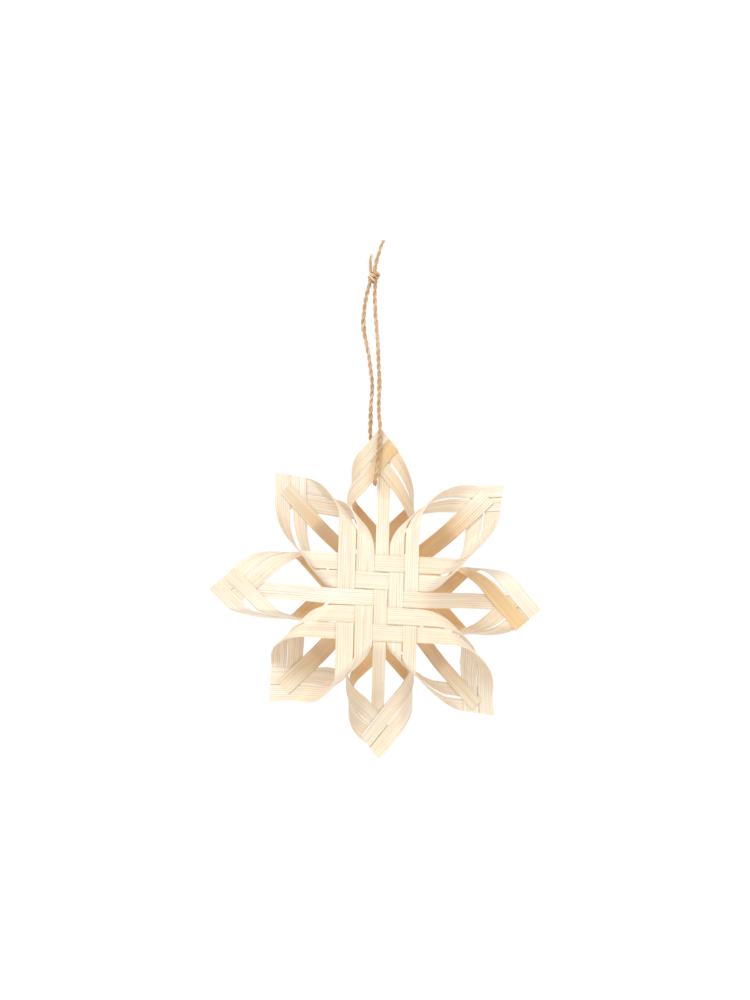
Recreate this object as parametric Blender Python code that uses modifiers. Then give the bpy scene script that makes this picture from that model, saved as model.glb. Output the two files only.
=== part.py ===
"""Woven splint star on a twine loop.

Two square units of five upright and five crosswise splints are woven in a two-over, two-under
twill. They stand back to back, the rear one turned by 45 degrees. Beyond the weave the outer
splints of each corner curl round to the middle plane, and cross there as one pointed petal. The
middle splints of each unit run straight out to the petals of the other unit.

The star's own plane is XZ: X to the right, Z up, and Y is the depth, with the front at -Y.
The origin is the inside top of the twine loop, which the star hangs from.
"""
import math
from collections import namedtuple

import bmesh
import bpy
from mathutils import Vector

MM = 0.001

# Main sizes: the star's tip to tip, its usual splint, how far the loop hangs down, and the twine
STAR_SPAN = 150.0 * MM
SPLINT_WIDTH = 7.0 * MM
LOOP_DROP = 89.2 * MM
TWINE_DIAMETER = 1.8 * MM

# A 150th of the star's span, the unit in which its petals are measured
SPAN_STEP = STAR_SPAN / 150.0

# The splint stock and how closely it is laid
SPLINT_THICKNESS = 0.35 * MM
FACE_GAP = 0.3 * MM
SIDE_GAP = 0.5 * MM
LAYER_PITCH = SPLINT_THICKNESS + FACE_GAP

# The weave: clear space between two splints that cross, and how a splint changes its side
CROSSING_GAP = 0.45 * MM
WEAVE_SWING = (SPLINT_THICKNESS + CROSSING_GAP) / 2
WEAVE_RAMP = 1.3 * MM
RAMP_SHARE = 0.4

# How much wider than usual each splint is in millimetres, left to right and top to bottom
FRONT_UPRIGHT_EXTRA = (0.8, 0.8, -1.2, -0.6, -1.0)
FRONT_CROSSWISE_EXTRA = (0.4, 0.4, -0.1, 0.4, 0.1)
REAR_UPRIGHT_EXTRA = (0.2, 0.0, -0.7, -0.6, -0.2)
REAR_CROSSWISE_EXTRA = (-0.1, 0.1, 1.1, 0.2, 0.3)

# Gaps before and after the middle splint. The rear unit is woven more loosely, and its weave
# has slipped towards the upper right.
FRONT_GAPS = {"upright": (SIDE_GAP, SIDE_GAP), "crosswise": (SIDE_GAP, SIDE_GAP)}
REAR_GAPS = {"upright": (0.8 * MM, 1.2 * MM), "crosswise": (1.2 * MM, 2.0 * MM)}
REAR_SLIP = 0.8 * MM

# Place and turn of the two weaves
STAR_CENTRE_X = 4.4 * MM
STAR_CENTRE_Z = -(LOOP_DROP + 50.6 * SPAN_STEP)
WEAVE_DEPTH = 26.0 * SPAN_STEP
FRONT_CROSSWISE_TURN = -3.0
FRONT_UPRIGHT_TURN = 88.4
REAR_CROSSWISE_TURN = 43.0
REAR_UPRIGHT_TURN = 131.4

# How the two splints on one side of a petal curl: how far the inner one stands out from the
# petal's axis, how much less the outer one does, and how far each lies towards the tip, first
# where it stands out most and then where it lands, all in span steps. The landing is the share
# of the way back over which it already lies flat.
Roll = namedtuple("Roll", "bulge taper inner_lead outer_lead landing", defaults=(0.55,))

# Each petal: direction of its tip in degrees, distance of the tip from the weave's centre in
# span steps, its left and right curl as seen from the star's centre, and its point's angle
Petal = namedtuple("Petal", "angle reach left right point_angle")
FRONT_PETALS = {
    "upper_right": Petal(42.1, 74.8, Roll(17.6, 0.5, (-0.5, 0.0), (1.0, 0.0)),
                         Roll(13.9, 1.0, (-2.0, -0.3), (0.0, 0.0)), 80.0),
    "upper_left": Petal(130.4, 73.5, Roll(15.0, 0.5, (-6.0, -1.0), (-1.0, 0.0)),
                        Roll(15.6, 2.8, (1.8, 0.5), (1.6, 0.2)), 79.0),
    "lower_left": Petal(223.2, 69.1, Roll(15.1, 0.5, (2.6, 0.6), (2.3, 0.3)),
                        Roll(16.9, 0.5, (2.6, 0.6), (2.3, 0.3)), 85.0),
    "lower_right": Petal(313.5, 74.2, Roll(15.0, 1.2, (2.6, 0.6), (2.3, 0.3)),
                         Roll(13.4, 0.6, (-6.0, -0.8), (-1.5, 0.0)), 77.0),
}
REAR_PETALS = {
    "upper_right": Petal(89.9, 75.9, Roll(15.2, 2.0, (2.5, 1.2), (3.0, 0.8)),
                         Roll(15.8, 0.9, (-5.5, -1.6), (-4.5, -0.4)), 77.0),
    "upper_left": Petal(177.6, 77.7, Roll(13.0, 0.6, (-6.0, -2.0), (-3.0, 0.0), 0.25),
                        Roll(18.0, 0.3, (0.0, 0.3), (1.5, 0.0)), 85.0),
    "lower_left": Petal(269.6, 73.8, Roll(15.3, 0.6, (0.0, 0.0), (0.0, 0.0), 0.35),
                        Roll(15.4, 1.2, (3.0, 0.5), (2.7, 0.2)), 77.0),
    "lower_right": Petal(355.2, 72.7, Roll(15.9, 0.0, (-5.5, -0.8), (-0.5, 0.0), 0.9),
                         Roll(14.9, 0.8, (-3.0, -0.5), (-2.5, 0.0)), 90.0),
}

# The curls
CURL_CLEARANCE = 0.3 * MM
LEVEL_FADE = 4.5 * MM
BELLY_SHARE = 0.42
BELLY_LEAD_POWER = 1.3
OUTGOING_HANDLES = (0.6, 0.55)
RETURNING_DEPTH_HANDLE = 0.5
TIP_FLAT_MARGIN = 0.2 * MM
LOOSE_FLAT_SHARE = 0.7
REAR_TIGHT_FLAT_SHARE = 0.85
HIDDEN_END_SHORT = 2.0 * MM
CURL_SAMPLES = 24
CURL_STEPS = 6

# The straight splints
STRAIGHT_END_SHORT = 8.6 * SPAN_STEP
STRAIGHT_LEVEL_MARGIN = 1.0 * MM
STRAIGHT_STEPS = 9

# Edges of the splints' facets sharper than this many degrees stay sharp
SHARP_ANGLE = 40.0

# The twine and its knot
TWINE_POINT_SPACING = 2.5
ROUTE_STEPS = 16
KNOT_WIDTH = 6.2 * MM
KNOT_DEPTH = 5.0 * MM
KNOT_HEIGHT = 7.4 * MM
KNOT_PLACE_X = 1.2 * MM
KNOT_BOTTOM_Z = 1.0 * MM
KNOT_RIDGES = 3
KNOT_RIDGE_HEIGHT = 0.10
KNOT_SEGMENTS = 14
KNOT_RINGS = 9

# The loop hangs from the knot down in front of the top petal and up again behind it:
# (right, back) in millimetres, and the share of the drop
LOOP_FRONT_RUN = [
    (1.9, -0.4, -0.01), (1.7, -0.5, 0.06), (2.0, -0.7, 0.13), (2.6, -0.9, 0.21),
    (3.1, -1.1, 0.29), (3.4, -1.3, 0.38), (3.8, -1.5, 0.48), (3.6, -1.6, 0.56),
    (3.6, -1.7, 0.64), (4.1, -1.7, 0.70),
]
LOOP_BACK_RUN = [
    (-0.4, 2.3, 0.73), (-0.2, 2.0, 0.68), (0.0, 1.7, 0.59), (0.6, 1.3, 0.50), (-0.1, 1.1, 0.43),
    (-1.1, 0.9, 0.34), (-2.3, 0.7, 0.28), (-3.4, 0.6, 0.20), (-3.2, 0.5, 0.13),
    (-2.3, 0.4, 0.06), (-0.75, 0.3, -0.01),
]
# It turns round the inner edge of the top petal's left pair: (right, back, height over the turn)
LOOP_TURN = [
    (3.8, -1.8, 19.9), (3.3, -2.0, 13.4), (2.8, -2.5, 8.4), (2.2, -2.9, 4.0), (1.9, -2.1, 1.3),
    (1.8, -0.5, 0.1), (1.75, 1.3, 0.0), (1.65, 3.1, 1.3), (1.5, 3.7, 4.4), (1.1, 3.3, 9.4),
    (0.6, 2.8, 14.4), (0.1, 2.5, 19.4),
]
# The two tails, in millimetres from the top of the knot
LONG_TAIL_MM = [(0.7, 0.0, 0.4), (1.5, -0.2, 4.1), (2.9, -0.1, 8.6), (4.5, 0.2, 12.6)]
SHORT_TAIL_MM = [(-1.7, 0.3, 0.2), (-1.6, 0.5, 3.4), (-0.8, 0.4, 7.0)]


def material(name, colour, roughness):
    """A Principled material of one colour."""
    made = bpy.data.materials.new(name)
    made.use_nodes = True
    shader = made.node_tree.nodes["Principled BSDF"]
    shader.inputs["Base Color"].default_value = (*colour, 1.0)
    shader.inputs["Roughness"].default_value = roughness
    shader.inputs["Metallic"].default_value = 0.0
    return made


def eased(share):
    """A share from 0 to 1 that starts and stops gently."""
    return share * share * (3.0 - 2.0 * share)


def direction(degrees):
    """Unit vector in the star's plane, as (right, up)."""
    return Vector((math.cos(math.radians(degrees)), math.sin(math.radians(degrees))))


def splint_widths(extras):
    """Widths of a row of splints."""
    return [SPLINT_WIDTH + extra * MM for extra in extras]


def offsets_from_middle(widths, gaps):
    """Centre lines of five splints laid side by side, measured from the middle one."""
    middle = len(widths) // 2
    before, after = gaps
    places = [0.0] * len(widths)
    for index in range(middle - 1, -1, -1):
        step = (widths[index + 1] + widths[index]) / 2 + before
        places[index] = places[index + 1] - step
    for index in range(middle + 1, len(widths)):
        step = (widths[index - 1] + widths[index]) / 2 + after
        places[index] = places[index - 1] + step
    return places


def bezier(start, start_handle, end_handle, end, share):
    """Point of a cubic curve in the plane."""
    rest = 1.0 - share
    return (start * rest ** 3 + start_handle * 3 * rest ** 2 * share
            + end_handle * 3 * rest * share ** 2 + end * share ** 3)


def curl_profile(curl_start, bulge, flat_half, weave_depth, tip_depth, landing):
    """Cross-section of a curl, as (length along it, distance from the axis, depth) rows."""
    belly_depth = weave_depth + (tip_depth - weave_depth) * BELLY_SHARE
    corners = (
        (Vector((curl_start, weave_depth)), Vector((bulge, belly_depth))),
        (Vector((bulge, belly_depth)), Vector((flat_half, tip_depth))),
    )
    rows = [(curl_start, curl_start, weave_depth)]
    shares = (OUTGOING_HANDLES, (landing, RETURNING_DEPTH_HANDLE))
    for part, (start, end) in enumerate(corners):
        across_share, depth_share = shares[part]
        across = (end.x - start.x) * across_share
        depth = (end.y - start.y) * depth_share
        if part == 0:
            start_handle = start + Vector((across, 0.0))
            end_handle = end - Vector((0.0, depth))
        else:
            start_handle = start + Vector((0.0, depth))
            end_handle = end - Vector((across, 0.0))
        for sample in range(1, CURL_SAMPLES + 1):
            point = bezier(start, start_handle, end_handle, end, sample / CURL_SAMPLES)
            last = Vector((rows[-1][1], rows[-1][2]))
            rows.append((rows[-1][0] + (point - last).length, point.x, point.y))
    return rows


# Which splints cross those of a kind
CROSSING_KIND = {"upright": "crosswise", "crosswise": "upright"}


class Unit:
    """One woven square with its four petals."""

    def __init__(self, name, side, turns, extras, gaps, slip, petals):
        crosswise_turn, upright_turn = turns
        upright_extra, crosswise_extra = extras
        self.name = name
        self.side = side
        self.slip = slip
        self.depth = side * WEAVE_DEPTH
        self.right = direction(crosswise_turn)
        self.up = direction(upright_turn)
        self.widths = {
            "upright": splint_widths(upright_extra),
            "crosswise": splint_widths(crosswise_extra),
        }
        upright = offsets_from_middle(self.widths["upright"], gaps["upright"])
        crosswise = offsets_from_middle(self.widths["crosswise"], gaps["crosswise"])
        self.places = {
            "upright": [slip + place for place in upright],
            "crosswise": [slip - place for place in crosswise],
        }
        self.petals = petals

    def flat_point(self, kind, along, across):
        """Point of the weave's plane, from the distance along a splint and across it."""
        if kind == "upright":
            return self.right * across + self.up * along
        return self.right * along + self.up * across

    def reach(self, kind, sign):
        """Distance from the centre to the weave's edge where splints of a kind leave it."""
        crossing = CROSSING_KIND[kind]
        return max(sign * place + width / 2
                   for place, width in zip(self.places[crossing], self.widths[crossing]))

    def outer_pair(self, kind, across_sign):
        """The two outermost splints on one side, as (distance, width) rows, inner one first."""
        rows = [(across_sign * place, width) for place, width
                in zip(self.places[kind], self.widths[kind])]
        return sorted(rows)[-2:]

    def closed_width(self, kind, across_sign):
        """Width of an outer pair where its two splints lie close together."""
        inner, outer = self.outer_pair(kind, across_sign)
        return inner[1] + SIDE_GAP + outer[1]

    def level(self, kind, index, crossing_index):
        """Depth of a splint at a crossing."""
        column, row = (index, crossing_index) if kind == "upright" else (crossing_index, index)
        upright_over = (column + row) % 4 in (0, 1)
        over = upright_over if kind == "upright" else not upright_over
        return self.depth - WEAVE_SWING if over else self.depth + WEAVE_SWING

    def crossings(self, kind, index):
        """Crossings along a splint as (place, width, depth) rows, from its start to its end."""
        crossing = CROSSING_KIND[kind]
        rows = [(place, width, self.level(kind, index, number))
                for number, (place, width)
                in enumerate(zip(self.places[crossing], self.widths[crossing]))]
        return sorted(rows)


def weave_stations(unit, kind, index):
    """Stations across a splint inside the weave, as (distance along, depth) rows."""
    rows = unit.crossings(kind, index)
    first_place, first_width, first_depth = rows[0]
    stations = [(first_place - first_width / 2, first_depth)]
    for (place, width, depth), (next_place, next_width, next_depth) in zip(rows, rows[1:]):
        if depth == next_depth:
            continue
        gap_start = place + width / 2
        gap_end = next_place - next_width / 2
        middle = (depth + next_depth) / 2
        stations += [
            (gap_start - WEAVE_RAMP, depth),
            (gap_start, middle + (depth - middle) * RAMP_SHARE),
            (gap_end, middle + (next_depth - middle) * RAMP_SHARE),
            (gap_end + WEAVE_RAMP, next_depth),
        ]
    last_place, last_width, last_depth = rows[-1]
    stations.append((last_place + last_width / 2, last_depth))
    return stations


class Curl:
    """The rolled stretch of one splint on one side of a petal.

    A pair's inner splint is in lane 0 and its outer one in lane 1.
    """

    def __init__(self, unit, kind, sign, across_sign, lane):
        petal = unit.petals[petal_of(kind, sign, across_sign)]
        left = is_left_pair(kind, sign, across_sign)
        roll = petal.left if left else petal.right
        self.unit = unit
        self.kind = kind
        self.axis = direction(petal.angle)
        self.outward = direction(petal.angle + 90.0) * (1.0 if left else -1.0)
        self.radius = petal.reach * SPAN_STEP
        self.slope = math.tan(math.radians(petal.point_angle / 2))
        heading = unit.flat_point(kind, float(sign), 0.0)
        rise = heading.dot(self.axis) / heading.dot(self.outward)
        self.narrowing = self.slope * rise
        inner, outer = unit.outer_pair(kind, across_sign)
        inner_edge = inner[0] - inner[1] / 2
        outer_edge = outer[0] + outer[1] / 2
        leave = sign * (unit.reach(kind, sign) + CURL_CLEARANCE)
        corner = unit.flat_point(kind, leave, across_sign * inner_edge)
        self.start = corner.dot(self.outward)
        patch_half = self.slope * unit.closed_width(CROSSING_KIND[kind], sign) / math.sqrt(2)
        if left == (unit.side < 0):
            flat_share = LOOSE_FLAT_SHARE
        else:
            flat_share = REAR_TIGHT_FLAT_SHARE if unit.side > 0 else 1.0
        self.flat_half = (patch_half + TIP_FLAT_MARGIN) * flat_share
        self.cut_short = 0.0 if left or unit.side < 0 else HIDDEN_END_SHORT
        bulge = (roll.bulge - roll.taper * lane) * SPAN_STEP
        tip_depth = 0.0 if left else LAYER_PITCH
        self.profile = curl_profile(self.start, bulge, self.flat_half, unit.depth, tip_depth,
                                    roll.landing)
        self.span = self.profile[-1][0]
        self.axis_length = self.span + self.flat_half / self.narrowing
        tip_along = self.along_at(self.axis_length, across_sign * outer_edge)
        tip = unit.flat_point(kind, tip_along, across_sign * outer_edge)
        self.shift = self.radius - tip.dot(self.axis)
        belly_lead, tip_lead = roll.outer_lead if lane else roll.inner_lead
        self.belly_lead = belly_lead * SPAN_STEP
        self.tip_lead = tip_lead * SPAN_STEP
        if lane == 0:
            aside = unit.flat_point(kind, 0.0, float(across_sign))
            closing = outer_edge - inner_edge - unit.closed_width(kind, across_sign)
            self.tip_lead += closing * (aside.dot(self.axis) - aside.dot(self.outward) * abs(rise))

    def end_at(self, across):
        """Distance along a splint at which it is trimmed flush with the crossing pair."""
        base = self.unit.flat_point(self.kind, 0.0, across)
        step = self.unit.flat_point(self.kind, 1.0, 0.0)
        ahead = self.radius - self.shift - self.tip_lead - self.cut_short - base.dot(self.axis)
        constant = (self.narrowing * (self.axis_length - base.dot(self.outward))
                    + self.slope * ahead)
        rate = self.narrowing * step.dot(self.outward) + self.slope * step.dot(self.axis)
        return constant / rate

    def along_at(self, length, across):
        """Distance along a splint at which a line across it has run a length of the curl."""
        base = self.unit.flat_point(self.kind, 0.0, across).dot(self.outward)
        rate = self.unit.flat_point(self.kind, 1.0, 0.0).dot(self.outward)
        return (length - base) / rate

    def place(self, along, across, exit_depth):
        """Point of the curled surface, as (right, depth, up) from the star's centre."""
        profile = self.profile
        flat = self.unit.flat_point(self.kind, along, across)
        length = flat.dot(self.outward)
        if length <= self.start:
            return Vector((flat.x, exit_depth, flat.y))
        fade = min(1.0, (length - self.start) / LEVEL_FADE)
        raised = (exit_depth - self.unit.depth) * (1.0 - eased(fade))
        share = min(1.0, (length - self.start) / (self.span - self.start))
        middle = 4.0 * share * (1.0 - share)
        forward = (flat.dot(self.axis) + (self.shift + self.tip_lead) * eased(share)
                   + self.belly_lead * middle ** BELLY_LEAD_POWER)
        if length >= self.span:
            beside = self.flat_half - (length - self.span) * self.narrowing
            depth = profile[-1][2]
        else:
            index = next(i for i in range(1, len(profile)) if profile[i][0] >= length - 1e-12)
            before, after = profile[index - 1], profile[index]
            part = (length - before[0]) / (after[0] - before[0])
            beside = before[1] + (after[1] - before[1]) * part
            depth = before[2] + (after[2] - before[2]) * part
        spot = self.axis * forward + self.outward * beside
        return Vector((spot.x, depth + raised, spot.y))


def curl_rows(curl, place, width, exit_depth):
    """Cross lines of a curled end, from the weave to the cut end."""
    picks = [curl.profile[number][0] for number
             in range(0, len(curl.profile), CURL_SAMPLES // CURL_STEPS)]
    rows = []
    for length in picks:
        line = []
        for across in (place - width / 2, place + width / 2):
            along = curl.along_at(length, across)
            line.append(curl.place(along, across, exit_depth))
        rows.append(line)
    rows.append([curl.place(curl.end_at(across), across, exit_depth)
                 for across in (place - width / 2, place + width / 2)])
    return rows


def straight_rows(unit, other, kind, index, sign, exit_depth):
    """Cross lines of a middle splint, from the weave to its cut end at the other unit's petal."""
    place = unit.places[kind][index]
    width = unit.widths[kind][index]
    petal = straight_petal(unit, other, kind, sign)
    radius = petal.reach * SPAN_STEP
    tip_depth = 2 * LAYER_PITCH if unit.side < 0 else -LAYER_PITCH
    start = unit.reach(kind, sign) + CURL_CLEARANCE
    pair_width = 2 * max(other.widths["upright"] + other.widths["crosswise"]) + SIDE_GAP
    meeting = radius - math.sqrt(2) * pair_width
    slope = math.tan(math.radians(petal.point_angle / 2))
    end = radius - STRAIGHT_END_SHORT
    aside = abs(unit.flat_point(kind, sign * end, 0.0).dot(direction(petal.angle + 90.0)))
    level = meeting - (width / 2 + aside) / slope - STRAIGHT_LEVEL_MARGIN
    rows = []
    for step in range(STRAIGHT_STEPS + 1):
        share = step / STRAIGHT_STEPS
        along = start + (level - start) * share
        rows.append((along, eased(share)))
    rows.append((end, 1.0))
    lines = []
    for along, done in rows:
        depth = exit_depth + (tip_depth - exit_depth) * done
        middle = place - unit.slip * done
        line = []
        for across in (middle - width / 2, middle + width / 2):
            flat = unit.flat_point(kind, sign * along, across)
            line.append(Vector((flat.x, depth, flat.y)))
        lines.append(line)
    return lines


def ribbon_object(name, lines, finish, collection):
    """A splint: a strip of faces through its cross lines, given its thickness."""
    mesh = bpy.data.meshes.new(name)
    grid = bmesh.new()
    bmesh.ops.create_grid(grid, x_segments=len(lines) - 1, y_segments=1, size=0.5)
    grid.verts.ensure_lookup_table()
    ordered = sorted(grid.verts, key=lambda vert: (round(vert.co.x, 6), vert.co.y))
    centre = Vector((STAR_CENTRE_X, 0.0, STAR_CENTRE_Z))
    spots = [spot + centre for line in lines for spot in line]
    for vert, spot in zip(ordered, spots):
        vert.co = spot
    bmesh.ops.triangulate(grid, faces=grid.faces)
    grid.to_mesh(mesh)
    grid.free()
    splint = bpy.data.objects.new(name, mesh)
    collection.objects.link(splint)
    mesh.materials.append(finish)
    wall = splint.modifiers.new("thickness", "SOLIDIFY")
    wall.thickness = SPLINT_THICKNESS
    wall.offset = 0.0
    wall.use_even_offset = True
    mesh.shade_smooth()
    mesh.set_sharp_from_angle(angle=math.radians(SHARP_ANGLE))
    return splint


def petal_of(kind, sign, across_sign):
    """Name of the petal that an outer splint ends in."""
    right = sign > 0 if kind == "crosswise" else across_sign > 0
    up = sign > 0 if kind == "upright" else across_sign > 0
    return ("upper_" if up else "lower_") + ("right" if right else "left")


def is_left_pair(kind, sign, across_sign):
    """Whether a pair stands on the left of its petal's axis, looking out along it."""
    turn = sign * across_sign
    return turn > 0 if kind == "upright" else turn < 0


def straight_petal(unit, other, kind, sign):
    """The other unit's petal that a middle splint runs out to."""
    heading = unit.flat_point(kind, sign, 0.0)
    return max(other.petals.values(), key=lambda petal: direction(petal.angle).dot(heading))


def splint_lines(unit, other, kind, index):
    """All cross lines of one splint, from its start to its end."""
    place = unit.places[kind][index]
    width = unit.widths[kind][index]
    middle = len(unit.widths[kind]) // 2
    stations = weave_stations(unit, kind, index)
    inner = []
    for along, depth in stations:
        line = []
        for across in (place - width / 2, place + width / 2):
            flat = unit.flat_point(kind, along, across)
            line.append(Vector((flat.x, depth, flat.y)))
        inner.append(line)
    ends = {}
    for sign, exit_depth in ((-1, stations[0][1]), (1, stations[-1][1])):
        if index == middle:
            ends[sign] = straight_rows(unit, other, kind, index, sign, exit_depth)
        else:
            across_sign = 1 if place > unit.slip else -1
            lane = abs(index - middle) - 1
            curl = Curl(unit, kind, sign, across_sign, lane)
            ends[sign] = curl_rows(curl, place, width, exit_depth)
    return ends[-1][::-1] + inner + ends[1]


def loop_route():
    """Own points of the loop, in metres from the origin."""
    front = [(right * MM, back * MM, -share * LOOP_DROP) for right, back, share in LOOP_FRONT_RUN]
    turn = [(right * MM, back * MM, height * MM - LOOP_DROP) for right, back, height in LOOP_TURN]
    rear = [(right * MM, back * MM, -share * LOOP_DROP) for right, back, share in LOOP_BACK_RUN]
    return [Vector(point) for point in front + turn + rear]


def tail_route(points):
    """Own points of a tail, in metres from the origin."""
    knot_top = Vector((KNOT_PLACE_X, 0.0, KNOT_BOTTOM_Z + KNOT_HEIGHT))
    return [knot_top + Vector(point) * MM for point in points]


def smooth_route(spots, spacing):
    """Points at even steps on a smooth curve through a route's own points."""
    padded = [spots[0] * 2 - spots[1]] + spots + [spots[-1] * 2 - spots[-2]]
    dense = []
    for index in range(1, len(padded) - 2):
        before, start, end, after = padded[index - 1:index + 3]
        for step in range(ROUTE_STEPS):
            share = step / ROUTE_STEPS
            dense.append(0.5 * (start * 2 + (end - before) * share
                                + (before * 2 - start * 5 + end * 4 - after) * share ** 2
                                + (start * 3 - before - end * 3 + after) * share ** 3))
    dense.append(spots[-1])
    lengths = [0.0]
    for before, after in zip(dense, dense[1:]):
        lengths.append(lengths[-1] + (after - before).length)
    count = max(2, round(lengths[-1] / spacing))
    route = []
    index = 0
    for step in range(count + 1):
        wanted = lengths[-1] * step / count
        while index < len(dense) - 2 and lengths[index + 1] < wanted:
            index += 1
        share = (wanted - lengths[index]) / (lengths[index + 1] - lengths[index])
        route.append(dense[index].lerp(dense[index + 1], min(1.0, share)))
    return route


def twine_object(name, spots, finish, collection):
    """A length of twine as a tube along a smooth route."""
    curve = bpy.data.curves.new(name, "CURVE")
    curve.dimensions = "3D"
    curve.bevel_depth = TWINE_DIAMETER / 2
    curve.bevel_resolution = 2
    curve.use_fill_caps = True
    route = smooth_route(spots, TWINE_DIAMETER * TWINE_POINT_SPACING)
    spline = curve.splines.new("POLY")
    spline.points.add(len(route) - 1)
    for point, spot in zip(spline.points, route):
        point.co = (*spot, 1.0)
    spline.use_smooth = True
    curve.materials.append(finish)
    twine = bpy.data.objects.new(name, curve)
    collection.objects.link(twine)
    return twine


def knot_object(finish, collection):
    """The tightened knot: a lump with slanting ridges where the twine is wound."""
    mesh = bpy.data.meshes.new("twine_knot")
    ball = bmesh.new()
    bmesh.ops.create_uvsphere(ball, u_segments=KNOT_SEGMENTS, v_segments=KNOT_RINGS,
                              radius=0.5)
    for vert in ball.verts:
        turn = math.atan2(vert.co.y, vert.co.x)
        height = vert.co.z
        fade = 1.0 - (2 * height) ** 2
        ridge = 1.0 + KNOT_RIDGE_HEIGHT * fade * math.cos(turn + height * KNOT_RIDGES * math.tau)
        vert.co = Vector((vert.co.x * KNOT_WIDTH * ridge, vert.co.y * KNOT_DEPTH * ridge,
                          height * KNOT_HEIGHT))
    ball.to_mesh(mesh)
    ball.free()
    mesh.materials.append(finish)
    mesh.shade_smooth()
    knot = bpy.data.objects.new("twine_knot", mesh)
    knot.location = (KNOT_PLACE_X, 0.0, KNOT_BOTTOM_Z + KNOT_HEIGHT / 2)
    collection.objects.link(knot)
    return knot


def build():
    """Clear the scene and make the star."""
    for item in list(bpy.data.objects):
        bpy.data.objects.remove(item, do_unlink=True)
    collection = bpy.data.collections.new("woven_splint_star")
    bpy.context.scene.collection.children.link(collection)
    pale = material("pale_splint", (0.86, 0.74, 0.53), 0.55)
    tan = material("tan_splint", (0.72, 0.52, 0.28), 0.6)
    jute = material("jute_twine", (0.55, 0.38, 0.2), 0.9)
    front = Unit("front", -1, (FRONT_CROSSWISE_TURN, FRONT_UPRIGHT_TURN),
                 (FRONT_UPRIGHT_EXTRA, FRONT_CROSSWISE_EXTRA), FRONT_GAPS, 0.0, FRONT_PETALS)
    rear = Unit("rear", 1, (REAR_CROSSWISE_TURN, REAR_UPRIGHT_TURN),
                (REAR_UPRIGHT_EXTRA, REAR_CROSSWISE_EXTRA), REAR_GAPS, REAR_SLIP, REAR_PETALS)
    for unit, other, finish in ((front, rear, pale), (rear, front, tan)):
        for kind in ("upright", "crosswise"):
            for index in range(len(unit.widths[kind])):
                lines = splint_lines(unit, other, kind, index)
                ribbon_object(f"{unit.name}_{kind}_splint_{index + 1}", lines, finish,
                              collection)
    twine_object("hanging_twine_loop", loop_route(), jute, collection)
    twine_object("twine_long_tail", tail_route(LONG_TAIL_MM), jute, collection)
    twine_object("twine_short_tail", tail_route(SHORT_TAIL_MM), jute, collection)
    knot_object(jute, collection)


build()
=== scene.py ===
"""Looks of a woven splint star that hangs on a loop of jute twine.

The star's own plane is XZ, with X to the right, Z up and the front at -Y. The origin is the inside
top of the twine loop. Every splint is one bent ribbon of split wood with its own grain, laid where
the frame has it. The twine is two twisted plies with loose fibres, a wound knot, and a short tail
whose yarns come apart.
"""
import logging
import math
from bisect import bisect_left
from dataclasses import dataclass, field
from enum import Enum
from random import Random

import bpy
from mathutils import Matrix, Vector, noise


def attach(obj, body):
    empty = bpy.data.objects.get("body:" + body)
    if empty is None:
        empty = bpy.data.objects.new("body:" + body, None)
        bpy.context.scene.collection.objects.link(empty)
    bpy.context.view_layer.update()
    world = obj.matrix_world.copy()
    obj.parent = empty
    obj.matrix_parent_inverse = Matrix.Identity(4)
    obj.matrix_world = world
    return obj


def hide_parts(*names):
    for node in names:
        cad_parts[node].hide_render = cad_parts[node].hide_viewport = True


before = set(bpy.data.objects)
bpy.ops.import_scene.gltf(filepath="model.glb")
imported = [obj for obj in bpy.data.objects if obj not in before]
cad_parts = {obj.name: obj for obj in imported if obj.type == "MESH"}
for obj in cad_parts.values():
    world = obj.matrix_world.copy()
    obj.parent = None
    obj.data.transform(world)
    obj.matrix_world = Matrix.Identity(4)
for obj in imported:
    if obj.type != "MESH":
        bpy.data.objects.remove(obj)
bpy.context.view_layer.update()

MM = 0.001
BODY = "root"
GRAIN = "grain"
TONE = "tone"

Row = list[tuple[Vector, float]]
log = logging.getLogger("woven_star")


class Lie(Enum):
    """The way a splint runs through its weave."""

    UPRIGHT = "upright"
    CROSSWISE = "crosswise"

    @property
    def crossing(self) -> "Lie":
        """The way of the splints that this one crosses."""
        return Lie.CROSSWISE if self is Lie.UPRIGHT else Lie.UPRIGHT


def eased(share: float) -> float:
    """A share from 0 to 1 that starts and stops gently."""
    return share * share * (3.0 - 2.0 * share)


def in_metres(millimetres: tuple[float, ...]) -> list[float]:
    """Lengths given in millimetres, in the scene's own metres."""
    return [length * MM for length in millimetres]


def direction(degrees: float) -> Vector:
    """Unit vector in the star's plane, as (right, up)."""
    return Vector((math.cos(math.radians(degrees)), math.sin(math.radians(degrees))))


def bezier(corners: tuple[Vector, Vector, Vector, Vector], share: float) -> Vector:
    """Point of a cubic curve.

    Args:
        corners: Start, its handle, the end's handle, and the end.
        share: How far along the curve, from 0 to 1.

    Returns:
        The point there.
    """
    start, start_handle, end_handle, end = corners
    rest = 1.0 - share
    return (start * rest ** 3 + start_handle * 3 * rest ** 2 * share
            + end_handle * 3 * rest * share ** 2 + end * share ** 3)


def carried_frames(path: list[Vector]) -> list[tuple[Vector, Vector]]:
    """Two directions square to a path at each of its points, carried along without twist.

    Args:
        path: The points of the path.

    Returns:
        One pair of unit vectors for each point.
    """
    frames = []
    side = Vector((0.0, 1.0, 0.0))
    last = len(path) - 1
    for number in range(len(path)):
        heading = (path[min(number + 1, last)] - path[max(number - 1, 0)]).normalized()
        side = side - heading * side.dot(heading)
        if side.length < 1e-6:
            side = heading.orthogonal()
        side.normalize()
        frames.append((side.copy(), heading.cross(side)))
    return frames


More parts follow.
